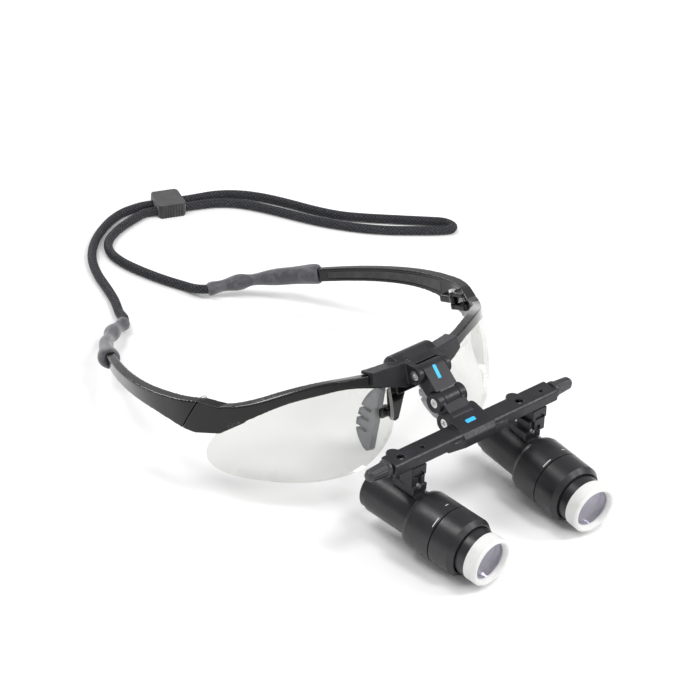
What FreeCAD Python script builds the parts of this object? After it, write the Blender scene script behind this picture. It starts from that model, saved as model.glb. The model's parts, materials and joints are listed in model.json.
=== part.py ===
"""Flip-up dental loupes with a pair of prismatic telescopes on safety eyewear.

Units are millimetres. +X is the wearer's left, -Y is forward, +Z is up.
The origin lies on the table plane, in the mid plane, below the brow bar's bridge.
The loupes rest on the table: telescopes in front, cord sleeves behind.
"right" and "left" in node names are the wearer's right (-X) and left (+X).
"""
import os
import FreeCAD, Part
from math import cos, pi, radians, sin, sqrt, tan

Vector = FreeCAD.Vector
X_AXIS = Vector(1, 0, 0)
Y_AXIS = Vector(0, 1, 0)
Z_AXIS = Vector(0, 0, 1)
ORIGIN = Vector(0, 0, 0)

# ---- resting attitude of the eyewear -------------------------------------
EYEWEAR_PITCH = 18.3      # temples slope down to the rear by this many degrees
EYEWEAR_LIFT = 48.4       # height of the eyewear's own origin above the table

# ---- brow bar and lenses (eyewear frame) -----------------------------------
WRAP_Y = 68.4             # centre of the wrap circle behind the brow
BROW_R_OUT = 77.4
BROW_R_IN = 72.9
LENS_R = 77.4             # outer radius of the spherical lens surface
LENS_Z = -12.0            # height of the lens sphere's centre
LENS_T = 2.0
GAP = 0.05                # static clearance between separate pieces

# ---- bridge bracket and links (table frame: y, z of the pin axes) ----------
PIN_UPPER = (-14.6, 52.6)
PIN_MIDDLE = (-24.8, 45.0)
PIN_LOWER = (-31.8, 39.9)
PIN_R = 1.2
PIN_RUN = 0.04            # running clearance of the link bores
PIN_HEAD_R = 1.9
PIN_HEAD_H = 1.1
EAR_R = 3.75
KNUCKLE_R = 4.0
BRACKET_EAR = (5.6, 8.1)  # inner and outer half widths
MIDDLE_EAR = (4.0, 7.1)
LINK_HALF = 5.5
TONGUE_HALF = 3.9
HOOD_HALF = 10.5
HOOD_R = 5.2
HOOD_Y = -4.9             # eyewear frame
HOOD_Z = 1.5
BRIDGE_TOP = 3.35         # brow bar height under the hood, eyewear frame
# the hood runs forward over the upper link's round end: (y, z) in the table frame
HOOD_WEB = [(-4.2, 56.6), (-8.6, 56.5), (-12.1, 55.9), (-12.1, 53.0), (-9.5, 48.8), (-4.2, 47.6)]

# ---- cross bar ---------------------------------------------------------------
BAR_HALF = 42.3
BAR_Y = -38.8
BAR_Z = 38.4
BAR_W = 8.4
BAR_H = 5.2
CHANNEL_W = 5.6
CHANNEL_H = 3.4
SLOT_W = 3.8
CHANNEL_IN = 20.0
CHANNEL_OUT = 40.2
SCREW_R = 1.25
SCREW_RUN = 0.05
KNOB_L = 10.6
KNOB_R = 3.45

# ---- telescopes -----------------------------------------------------------------
SLIDER_X = {"left": 33.0, "right": 30.2}   # the two sliders are set differently
SLIDER_W = 7.3
BARREL_X = 30.0           # barrel axis under the bar, each side
SCOPE_YAW = 4.1           # toe-in of each barrel
SCOPE_PITCH = 3.6         # downward pitch of each barrel
SCOPE_AXIS_Z = 14.3       # barrel axis height below the bar
SCOPE_FRONT = 42.4        # bar axis to front rim, along the barrel
BEZEL_L = 5.9
BEZEL_R = 9.85
TUBE_R = 9.6
TUBE_END = 30.0
RING_START = 10.3
RING_END = 21.6
COLLAR_END = 36.4
COLLAR_R = 11.95
HOUSING_END = 57.4
HOUSING_R = 9.3
EYE_END = 61.0
EYE_R = 8.7
SLEEVE_OUT = 11.0         # outside of the collar's guide sleeve
TUBE_RUN = 0.05
POST_R = 2.0
POST_RUN = 0.05

# ---- cord -------------------------------------------------------------------------
CORD_R = 2.05
CORD_Z = 2.1
LOCK_AT = (57.6, 219.6)
LOCK_DIR = (0.936, -0.352)
LOCK_BORE_GAP = 6.2
LOCK_BORE_R = 2.14
STRAIGHT_ENOUGH = 0.004  # radians between two runs that count as one


# ---- small helpers ---------------------------------------------------------------
def block(x0, x1, y0, y1, z0, z1):
    return Part.makeBox(x1 - x0, y1 - y0, z1 - z0, Vector(x0, y0, z0))


def rod_x(x0, x1, y, z, r):
    return Part.makeCylinder(r, x1 - x0, Vector(x0, y, z), X_AXIS)


def rod_y(y0, y1, x, z, r):
    return Part.makeCylinder(r, y1 - y0, Vector(x, y0, z), Y_AXIS)


def rod_z(z0, z1, x, y, r):
    return Part.makeCylinder(r, z1 - z0, Vector(x, y, z0), Z_AXIS)


def fuse(shapes):
    shapes = list(shapes)
    whole = shapes[0]
    for shape in shapes[1:]:
        whole = whole.fuse(shape)
    return whole.removeSplitter()


def cut(shape, tools):
    for tool in tools:
        shape = shape.cut(tool)
    return shape


def spline(points):
    curve = Part.BSplineCurve()
    curve.interpolate([Vector(*p) for p in points])
    return curve.toShape()


def polyline(points):
    return [Part.makeLine(Vector(*a), Vector(*b)) for a, b in zip(points, points[1:])]


def prism_x(points, x0, x1):
    """Extrude a closed (y, z) polygon along X."""
    loop = [(x0, y, z) for y, z in points]
    face = Part.Face(Part.Wire(polyline(loop + loop[:1])))
    return face.extrude(Vector(x1 - x0, 0, 0))


def turned(profile):
    """Revolve closed (radius, distance) points about the Y axis."""
    loop = [(r, t, 0) for r, t in profile]
    face = Part.Face(Part.Wire(polyline(loop + loop[:1])))
    return face.revolve(ORIGIN, Y_AXIS, 360)


def hex_socket(at, along, radius, depth):
    """A hexagonal recess that starts at a point and runs along an axis."""
    turn = FreeCAD.Rotation(Z_AXIS, along)
    corners = [Vector(radius * cos(k * pi / 3), radius * sin(k * pi / 3), 0) for k in range(7)]
    loop = [at + turn.multVec(corner) for corner in corners]
    face = Part.Face(Part.makePolygon(loop))
    return face.extrude(turn.multVec(Vector(0, 0, depth)))


def mirrored(shape):
    return shape.mirror(ORIGIN, X_AXIS)


def seat(shape):
    """Place a shape from the eyewear's own frame onto the table."""
    shape = shape.copy()
    shape.rotate(ORIGIN, X_AXIS, -EYEWEAR_PITCH)
    shape.translate(Vector(0, 0, EYEWEAR_LIFT))
    return shape


def seated_yz(y, z):
    a = radians(EYEWEAR_PITCH)
    return y * cos(a) + z * sin(a), z * cos(a) - y * sin(a) + EYEWEAR_LIFT


def strap_x(a, b, ra, rb, x0, x1):
    """A flat link between two pin centres a and b, given as (y, z)."""
    dy, dz = b[0] - a[0], b[1] - a[1]
    span = sqrt(dy * dy + dz * dz)
    ny, nz = -dz / span, dy / span
    quad = [
        (a[0] + ny * ra, a[1] + nz * ra),
        (b[0] + ny * rb, b[1] + nz * rb),
        (b[0] - ny * rb, b[1] - nz * rb),
        (a[0] - ny * ra, a[1] - nz * ra),
    ]
    web = prism_x(quad, x0, x1)
    return fuse([web, rod_x(x0, x1, a[0], a[1], ra), rod_x(x0, x1, b[0], b[1], rb)])


NODES = {}


def keep(name, shape):
    NODES[name] = shape


def keep_pair(name, shape):
    """Store a piece modelled on the wearer's left, and its mirror image."""
    keep(name + "_left", shape)
    keep(name + "_right", mirrored(shape))


# ---- eyewear: brow bar, lenses, nose piece ------------------------------------------
def wrap_ring(r_out, r_in, z0, z1):
    outer = rod_z(z0, z1, 0, WRAP_Y, r_out)
    return outer.cut(rod_z(z0 - 1, z1 + 1, 0, WRAP_Y, r_in))


def elevation(top, bottom):
    """A solid along Y whose front view lies between two (x, z) curves."""
    y0 = -20
    upper = spline([(x, y0, z) for x, z in top])
    lower = spline([(x, y0, z) for x, z in bottom])
    ends = [
        Part.makeLine(upper.Vertexes[-1].Point, lower.Vertexes[-1].Point),
        Part.makeLine(lower.Vertexes[0].Point, upper.Vertexes[0].Point),
    ]
    wire = Part.Wire(Part.__sortEdges__([upper, lower] + ends))
    return Part.Face(wire).extrude(Vector(0, 75, 0))


BROW_TOP = [(0, 2.7), (12, 2.8), (22.6, 3.2), (34, 4.3), (49, 3.7), (60.4, 1.3), (68.0, 1.2)]
BROW_BOTTOM = [(0, -4.4), (10, -4.4), (16.8, -3.5), (29.6, 0.0), (41.6, 0.3),
               (50, -0.5), (59.4, -3.9), (65, -7.2), (68.0, -9.4)]
LENS_EDGE = [(14.0, -2.4), (14.6, -12), (16.6, -21.2), (21.5, -27.8), (28.9, -33.2),
             (36.6, -34.6), (48.5, -33.8), (60.2, -30.3), (66.4, -27.0), (69.4, -22.4),
             (70.0, -17.3), (68.9, -12.6), (67.2, -9.2)]
LENS_TOP = [(14.0, -2.4), (22, 0.4), (29.6, 1.8), (41.6, 2.3), (50, 1.6),
            (59.4, -1.6), (65, -5.2), (67.2, -9.2)]


def temple_x(y):
    s = (y - 38.6) / 85
    return 70 + 27 * s - 62.5 * s ** 2 + 18 * s ** 3


def temple_slope(y):
    return (temple_x(y + 0.1) - temple_x(y - 0.1)) / 0.2


def temple_top(y):
    s = (y - 38.6) / 85
    return 3.7 + 8.9 * s - 5.5 * s ** 2


SEAM_TOP = (38.6, 3.7)
SEAM_BOTTOM = (47.6, -7.2)
SEAM_HALF_GAP = 0.12
TIP_Y = 131.0
SLEEVE_Y = 116.9


def side_wall(y_from, outer_inset, inner_inset, y_to=TIP_Y):
    """The endpiece and temple as one tall wall, seen in plan as two curves."""
    def edge(sign, radius, inset):
        points = []
        for y in (24.0, 28.0, 32.0, 36.0):
            reach = sqrt((radius - sign * inset) ** 2 - (WRAP_Y - y) ** 2)
            points.append((reach, y, -15))
        for y in (46.0, 54.0, 64.0, 80.0, 96.0, 112.0, TIP_Y + 2):
            half = 2.3 - 0.7 * (y - 46) / 85 - inset
            slope = temple_slope(y)
            run = sqrt(1 + slope ** 2)
            x = temple_x(y) + sign * half / run
            points.append((x, y - sign * half * slope / run, -15))
        return spline(points)
    outer = edge(1, BROW_R_OUT, outer_inset)
    inner = edge(-1, BROW_R_IN, inner_inset)
    ends = [
        Part.makeLine(outer.Vertexes[-1].Point, inner.Vertexes[-1].Point),
        Part.makeLine(inner.Vertexes[0].Point, outer.Vertexes[0].Point),
    ]
    wire = Part.Wire(Part.__sortEdges__([outer, inner] + ends))
    wall = Part.Face(wire).extrude(Vector(0, 0, 30))
    return wall.common(block(20, 90, y_from, y_to, -14, 14))


def side_profile(edges):
    """A solid along X from closed edges in the (y, z) plane at x = 30."""
    return Part.Face(Part.Wire(Part.__sortEdges__(edges))).extrude(Vector(60, 0, 0))


HINGE_X = 65.4
HINGE_Y = 42.5
HINGE_R = 1.7
HINGE_SCREW_R = 0.8
LOWER_KNUCKLE = (-5.2, -2.85)
MIDDLE_KNUCKLE = (-2.7, 0.4)
UPPER_KNUCKLE = (0.55, 2.3)


def build_front():
    brow = elevation(BROW_TOP, BROW_BOTTOM).common(wrap_ring(BROW_R_OUT, BROW_R_IN, -12, 8))
    top_y, top_z = SEAM_TOP
    low_y, low_z = SEAM_BOTTOM
    gap = SEAM_HALF_GAP
    outline = polyline([
        (30, 26.0, 1.2), (30, 31.0, 1.3), (30, top_y - gap, top_z), (30, low_y - gap, low_z),
        (30, 42.0, -9.0), (30, 32.4, -9.6), (30, 26.0, -7.0), (30, 26.0, 1.2),
    ])
    endpiece = side_wall(26.0, 0, 0).common(side_profile(outline))
    knuckles = []
    for z0, z1 in (LOWER_KNUCKLE, UPPER_KNUCKLE):
        knuckles.append(rod_z(z0, z1, HINGE_X, HINGE_Y, HINGE_R))
        knuckles.append(block(HINGE_X - 1.3, 68.2, 35.5, 39.6, z0, z1))
        knuckles.append(block(HINGE_X - 1.3, HINGE_X + 1.4, 39.0, HINGE_Y, z0, z1))
    half = fuse([brow, endpiece] + knuckles)
    half = half.cut(rod_z(-8, 5, HINGE_X, HINGE_Y, HINGE_SCREW_R + GAP))
    half = half.cut(lens_blank(GAP)).cut(lens_blank())
    half = half.common(block(0, 90, -20, 60, -12, 8))
    front = fuse([half, mirrored(half)])
    for side in (-1, 1):
        front = front.cut(rod_y(-14, 4, side * 15.0, 0.6, 0.95))
    keep("frame_front", front)
    screw = fuse([
        rod_z(LOWER_KNUCKLE[0] - 0.1, UPPER_KNUCKLE[1] + 0.1, HINGE_X, HINGE_Y, HINGE_SCREW_R),
        rod_z(UPPER_KNUCKLE[1] + GAP, UPPER_KNUCKLE[1] + 0.75, HINGE_X, HINGE_Y, 1.5),
    ])
    screw = screw.cut(block(HINGE_X - 2, HINGE_X + 2, HINGE_Y - 0.2, HINGE_Y + 0.2,
                            UPPER_KNUCKLE[1] + 0.4, UPPER_KNUCKLE[1] + 2))
    keep_pair("temple_hinge_screw", screw)


def lens_blank(growth=0.0):
    centre = Vector(0, WRAP_Y, LENS_Z)
    shell = Part.makeSphere(LENS_R + growth, centre)
    shell = shell.cut(Part.makeSphere(LENS_R - LENS_T - growth, centre))
    top = [(x, z + growth) for x, z in LENS_TOP]
    outline = [spline([(x, -20, z) for x, z in LENS_EDGE])]
    if growth:
        ends = (top[0], top[-1])
        low = [(14.0, -30), (67.2, -30)]
        outline = polyline([(ends[0][0], -20, ends[0][1]), (low[0][0], -20, low[0][1]),
                            (low[1][0], -20, low[1][1]), (ends[1][0], -20, ends[1][1])])
    upper = spline([(x, -20, z) for x, z in top])
    face = Part.Face(Part.Wire(Part.__sortEdges__(outline + [upper])))
    return shell.common(face.extrude(Vector(0, 70, 0)))


def build_nose():
    bridge = block(-11.0, 11.0, -7.4, -1.2, -8.2, -4.5)
    shapes = [bridge]
    for side in (-1, 1):
        leg = [(side * 2.6, -7.0), (side * 11.0, -7.0), (side * 12.6, -17.0), (side * 11.6, -19.5),
               (side * 9.6, -19.0)]
        loop = [(x, -3.4, z) for x, z in leg]
        face = Part.Face(Part.Wire(polyline(loop + loop[:1])))
        shapes.append(face.extrude(Vector(0, 3.0, 0)))
        a, b = sorted((side * 10.4, side * 15.4))
        shapes.append(block(a, b, -0.6, 2.6, -17.6, -13.6))
    carrier = fuse(shapes)
    carrier = carrier.cut(NODES["frame_front"])
    front = polyline([(0, -2.4, -6.2), (0, 5.0, -30.4)])
    rear = spline([(0, 5.0, -30.4), (0, 7.4, -31.3), (0, 10.6, -28.8), (0, 13.2, -23.0),
                   (0, 11.6, -16.6), (0, 7.2, -10.2), (0, 1.8, -6.0), (0, -1.2, -5.0), (0, -2.4, -6.2)])
    plate = Part.Face(Part.Wire(Part.__sortEdges__(front + [rear])))
    pad = plate.extrude(Vector(2.8, 0, 0))
    for y, z in ((8.2, -14.4), (10.2, -18.4), (11.2, -22.6)):
        slot = block(-1, 4, y - 4.4, y + 6, z - 0.6, z + 0.6)
        slot.rotate(Vector(0, y, z), X_AXIS, 14)
        pad = pad.cut(slot)
    ridge = block(-0.7, 0.3, -1.0, 0.8, -23.0, 0)
    ridge.rotate(ORIGIN, X_AXIS, 17.0)
    ridge.translate(Vector(0, 0.4, -7.4))
    pad = fuse([pad, ridge])
    pad.rotate(Vector(0, 0, -6), Y_AXIS, -11)
    pad.translate(Vector(12.4, 0, 0))
    keep("nose_bridge", carrier)
    keep_pair("nose_pad", pad.cut(carrier))


# ---- temples ---------------------------------------------------------------------------
def build_temples(front):
    top_y, top_z = SEAM_TOP
    low_y, low_z = SEAM_BOTTOM
    gap = SEAM_HALF_GAP
    top_points = [(30, y, temple_top(y)) for y in (46, 60, 80, 100, 120, TIP_Y)]
    crown = spline([(30, top_y + gap, top_z)] + top_points)
    belly = spline([(30, TIP_Y, temple_top(TIP_Y) - 5.2), (30, 120, temple_top(120) - 5.6),
                    (30, 100, temple_top(100) - 5.9), (30, 80, temple_top(80) - 6.5),
                    (30, 62, temple_top(62) - 8.2), (30, low_y + gap, low_z)])
    closing = polyline([(30, low_y + gap, low_z), (30, top_y + gap, top_z)])
    closing += polyline([(30, TIP_Y, temple_top(TIP_Y)), (30, TIP_Y, temple_top(TIP_Y) - 5.2)])
    profile = side_profile([crown, belly] + closing)
    arm = side_wall(36.0, 0, 0).common(profile)
    z0, z1 = MIDDLE_KNUCKLE
    knuckle = fuse([
        rod_z(z0, z1, HINGE_X, HINGE_Y, HINGE_R),
        block(HINGE_X - 1.3, HINGE_X + 1.3, HINGE_Y, 50.0, z0, z1),
        block(HINGE_X - 1.3, 71.2, 46.2, 50.0, z0, z1),
    ])
    arm = fuse([arm, knuckle]).cut(front)
    arm = arm.cut(rod_z(-8, 5, HINGE_X, HINGE_Y, HINGE_SCREW_R + PIN_RUN))
    strip_top = [(30, y, temple_top(y) - 1.5) for y in (56, 70, 90, 112)]
    strip_low = [(30, y, temple_top(y) - d) for y, d in ((112, 4.2), (90, 4.6), (70, 5.4), (56, 6.6))]
    strip_edges = [spline(strip_top), spline(strip_low)]
    strip_edges += polyline([strip_top[-1], strip_low[0]])
    strip_edges += polyline([strip_low[-1], strip_top[0]])
    inner_band = side_wall(50.0, 3.0, 0, 116).common(side_profile(strip_edges))
    arm = arm.cut(inner_band)
    keep_pair("temple", seat(arm))
    keep_pair("temple_grip", seat(inner_band))
    return arm


SLEEVE_SECTIONS = (
    # position along the sleeve, half width, half height
    (0.00, 3.0, 3.9), (0.25, 3.1, 3.9), (0.45, 2.9, 3.5), (0.58, 2.4, 2.6), (0.64, 2.5, 2.7),
    (0.67, 2.9, 3.1), (0.80, 2.9, 3.1), (0.95, 2.8, 3.0), (1.00, 2.5, 2.6),
)


def build_sleeves(arm):
    """A moulded rubber sleeve over each temple tip, bent in towards the cord."""
    path = Part.BSplineCurve()
    path.interpolate([Vector(56.1, SLEEVE_Y, 4.5), Vector(51.2, 126.5, 4.5),
                      Vector(45.8, 134.8, 4.5), Vector(38.6, 142.7, 4.6),
                      Vector(31.0, 148.8, 4.5), Vector(22.5, 153.6, 4.2)])
    wires = []
    for f, wide, tall in SLEEVE_SECTIONS:
        u = path.FirstParameter + f * (path.LastParameter - path.FirstParameter)
        centre = path.value(u)
        along = path.tangent(u)[0]
        across = Vector(along.y, -along.x, 0).normalize()
        ring = Part.Ellipse(ORIGIN, max(wide, tall) + 0.001, min(wide, tall)).toShape()
        matrix = FreeCAD.Matrix()
        first, second = (Z_AXIS, across) if tall >= wide else (across, Z_AXIS)
        third = first.cross(second)
        matrix.A11, matrix.A21, matrix.A31 = first.x, first.y, first.z
        matrix.A12, matrix.A22, matrix.A32 = second.x, second.y, second.z
        matrix.A13, matrix.A23, matrix.A33 = third.x, third.y, third.z
        ring = ring.transformGeometry(matrix)
        ring.translate(centre)
        wires.append(Part.Wire([ring]))
    sleeve = Part.makeLoft(wires, True, False)
    sleeve = sleeve.cut(arm)
    solid = max(sleeve.Solids, key=lambda s: s.Volume)
    keep_pair("cord_sleeve", seat(solid))


# ---- neck cord and its lock -------------------------------------------------------------
def lock_point(along, across):
    ux, uy = LOCK_DIR
    x = LOCK_AT[0] + ux * along - uy * across
    y = LOCK_AT[1] + uy * along + ux * across
    return x, y


def rounded_path(points):
    """A level path of straight runs whose corners are arcs, as large as the runs allow."""
    corners = [Vector(x, y, CORD_Z) for x, y in points]
    edges = []
    at = corners[0]
    for before, corner, after in zip(corners, corners[1:], corners[2:]):
        turn = (corner - before).getAngle(after - corner)
        if turn < STRAIGHT_ENOUGH:
            continue
        reach = 0.495 * min((corner - before).Length, (after - corner).Length)
        start = corner + (before - corner).normalize() * reach
        end = corner + (after - corner).normalize() * reach
        radius = reach / tan(turn / 2)
        inward = ((start + end) * 0.5 - corner).normalize()
        centre = corner + inward * (radius / cos(turn / 2))
        edges.append(Part.makeLine(at, start))
        edges.append(Part.Arc(start, centre - inward * radius, end).toShape())
        at = end
    edges.append(Part.makeLine(at, corners[-1]))
    return Part.Wire(edges)


def build_cord():
    half = LOCK_BORE_GAP / 2
    # the cord stays straight where the lock slides on it
    stations = (-12.0, -7.1, 7.1, 12.0)
    outer = [lock_point(t, half) for t in stations]
    inner = [lock_point(t, -half) for t in stations]
    right_strand = [(-16.6, 159.4), (-12.4, 167.6), (-8.6, 178.6), (-5.6, 188.6), (-0.6, 199.6),
                    (6.2, 208.8), (15.1, 216.8), (27.0, 224.0), (37.5, 227.4)]
    left_strand = [(18.6, 158.8), (14.8, 168.6), (11.6, 180.4), (9.7, 191.6), (10.6, 202.0),
                   (15.6, 209.8), (24.6, 215.4), (34.5, 218.6)]
    loop_out = [(82.0, 214.6), (91.2, 207.6), (97.9, 198.0), (103.1, 187.0), (107.9, 175.2),
                (113.8, 164.6), (121.6, 156.0), (138.0, 140.4)]
    loop_in = [(77.0, 208.6), (85.4, 201.2), (91.3, 190.9), (96.6, 179.4), (101.8, 168.0),
               (108.0, 157.8), (114.9, 148.6), (122.8, 140.4)]
    tip = [(148.6, 130.4), (147.8, 122.6), (139.6, 127.2)]
    path = rounded_path(right_strand + outer + loop_out + tip + loop_in[::-1] + inner[::-1]
                        + left_strand[::-1])
    start = Vector(*right_strand[0], CORD_Z)
    heading = Vector(*right_strand[1], CORD_Z) - start
    section = Part.Face(Part.Wire([Part.makeCircle(CORD_R, start, heading)]))
    keep("neck_cord", path.makePipe(section))

    length, width, height = 13.0, 15.5, 6.4
    body = Part.makeBox(length, width, height, Vector(-length / 2, -width / 2, 0))
    upright = [e for e in body.Edges if abs(e.Vertexes[0].Z - e.Vertexes[1].Z) > 1]
    body = body.makeFillet(2.4, upright)
    ribs = []
    for side in (-1, 1):
        for k in range(-3, 4):
            ribs.append(rod_z(-1, 8, 1.3 * k, side * (width / 2 + 0.25), 0.55))
    body = cut(body, ribs)
    for side in (-1, 1):
        bore = Part.makeCylinder(LOCK_BORE_R, 30, Vector(-15, side * half, CORD_Z), X_AXIS)
        body = body.cut(bore)
    body = body.common(block(-10, 10, -10, 10, -0.1, 9))
    turn = FreeCAD.Rotation(X_AXIS, Vector(*LOCK_DIR, 0))
    body.Placement = FreeCAD.Placement(Vector(*LOCK_AT, 0), turn)
    keep("cord_lock", body)


# ---- bridge bracket, clamp and flip links ------------------------------------------------
def flip_pin(at, outer_half):
    y, z = at
    pin = fuse([
        rod_x(-outer_half + 0.35, outer_half - 0.4, y, z, PIN_R),
        rod_x(-outer_half + 0.35, -outer_half + 0.35 + PIN_HEAD_H, y, z, PIN_HEAD_R),
    ])
    return pin.cut(hex_socket(Vector(-outer_half, y, z), X_AXIS, 0.95, 1.05))


def pin_room(at, outer_half):
    """The hole and counterbore that a flip pin sits in."""
    y, z = at
    return [
        rod_x(-outer_half - 1, outer_half + 1, y, z, PIN_R + GAP / 5),
        rod_x(-outer_half - 1, -outer_half + 0.4 + PIN_HEAD_H, y, z, PIN_HEAD_R + GAP),
    ]


def build_bracket():
    clear_brow = seat(wrap_ring(BROW_R_OUT + GAP, BROW_R_IN - GAP, -5.5, BRIDGE_TOP)
                      .common(block(-40, 40, -20, 10, -8, 8)))
    wing = wrap_ring(BROW_R_OUT + 2.6, BROW_R_IN, -6.0, BRIDGE_TOP + 1.3)
    plan = polyline([(-22.6, -30, -0.4), (-22.0, -30, 4.65), (22.0, -30, 4.65), (22.6, -30, -0.4),
                     (18, -30, -2.4), (9, -30, -5.2), (-9, -30, -5.2), (-18, -30, -2.4),
                     (-22.6, -30, -0.4)])
    wing = wing.common(Part.Face(Part.Wire(plan)).extrude(Vector(0, 40, 0)))
    hood = rod_x(-HOOD_HALF, HOOD_HALF, HOOD_Y, HOOD_Z, HOOD_R)
    hood_edges = [e for e in hood.Edges if e.Curve.TypeId == "Part::GeomCircle"]
    hood = hood.makeFillet(1.2, hood_edges)
    body = seat(fuse([wing, hood]))
    hood_at = seated_yz(HOOD_Y - 2.4, HOOD_Z - 0.6)
    for side in (-1, 1):
        a, b = sorted((side * BRACKET_EAR[0], side * BRACKET_EAR[1]))
        body = body.fuse(strap_x(PIN_UPPER, hood_at, EAR_R, 4.0, a, b))
    body = body.fuse(prism_x(HOOD_WEB, -LINK_HALF - 0.2, LINK_HALF + 0.2)).removeSplitter()
    body = body.cut(rod_x(-LINK_HALF - 0.1, LINK_HALF + 0.1, *PIN_UPPER, 4.15))
    body = body.cut(clear_brow)
    rear_room = seat(wrap_ring(BROW_R_IN + 0.2, BROW_R_IN - 8, -8, BRIDGE_TOP)
                     .common(block(-30, 30, -20, 12, -8, 8)))
    body = body.cut(rear_room)
    body = cut(body, pin_room(PIN_UPPER, BRACKET_EAR[1]))
    screw_holes = [seat(rod_y(-8.4, 4, side * 15.0, 0.6, 0.92)) for side in (-1, 1)]
    body = cut(body, screw_holes)
    keep("bridge_bracket", max(body.Solids, key=lambda s: s.Volume))

    clamp = wrap_ring(BROW_R_IN - GAP, BROW_R_IN - 2.4, -3.0, BRIDGE_TOP - 0.15)
    clamp = clamp.common(block(-18.5, 18.5, -20, 12, -8, 8))
    clamp = seat(clamp)
    clamp = cut(clamp, [seat(rod_y(-14, 6, side * 15.0, 0.6, 0.95)) for side in (-1, 1)])
    keep("bracket_clamp", clamp)
    screws = []
    for side in (-1, 1):
        face_y = WRAP_Y - sqrt((BROW_R_IN - 2.4) ** 2 - 16.6 ** 2) + 0.5
        head = rod_y(face_y, face_y + 1.1, side * 15.0, 0.6, 1.6)
        head = head.cut(hex_socket(Vector(side * 15.0, face_y + 0.4, 0.6), Y_AXIS, 0.8, 2))
        screws.append(fuse([head, rod_y(-8.3, face_y + 0.2, side * 15.0, 0.6, 0.9)]))
    keep("clamp_screws", seat(Part.makeCompound(screws)))
    keep("flip_pin_upper", flip_pin(PIN_UPPER, BRACKET_EAR[1]))


def build_links():
    upper = strap_x(PIN_UPPER, PIN_MIDDLE, 3.7, 3.2, -LINK_HALF, LINK_HALF)
    near_middle = rod_x(-9, 9, *PIN_MIDDLE, 4.25)
    upper = upper.cut(near_middle)
    tongue = strap_x(PIN_UPPER, PIN_MIDDLE, 2.6, 3.2, -TONGUE_HALF, TONGUE_HALF)
    tongue = tongue.fuse(rod_x(-TONGUE_HALF, TONGUE_HALF, *PIN_MIDDLE, KNUCKLE_R - 0.05))
    upper = upper.fuse(tongue).removeSplitter()
    upper = cut(upper, [
        rod_x(-20, 20, *PIN_UPPER, PIN_R + PIN_RUN),
        rod_x(-20, 20, *PIN_MIDDLE, PIN_R + PIN_RUN),
    ])
    keep("upper_link", upper)

    inner, outer = MIDDLE_EAR
    pieces = [strap_x(PIN_MIDDLE, PIN_LOWER, 3.2, 3.2, -LINK_HALF, LINK_HALF)]
    pieces.append(rod_x(-LINK_HALF, LINK_HALF, *PIN_LOWER, EAR_R - 0.05))
    pieces.append(rod_x(-outer, outer, *PIN_MIDDLE, KNUCKLE_R))
    lower = fuse(pieces)
    lower = lower.cut(rod_x(-inner, inner, *PIN_MIDDLE, KNUCKLE_R + 0.1))
    lower = cut(lower, pin_room(PIN_MIDDLE, outer))
    lower = lower.cut(rod_x(-20, 20, *PIN_LOWER, PIN_R + PIN_RUN))
    keep("lower_link", max(lower.Solids, key=lambda s: s.Volume))
    keep("flip_pin_middle", flip_pin(PIN_MIDDLE, outer))
    keep("flip_pin_lower", flip_pin(PIN_LOWER, BRACKET_EAR[1]))


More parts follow.
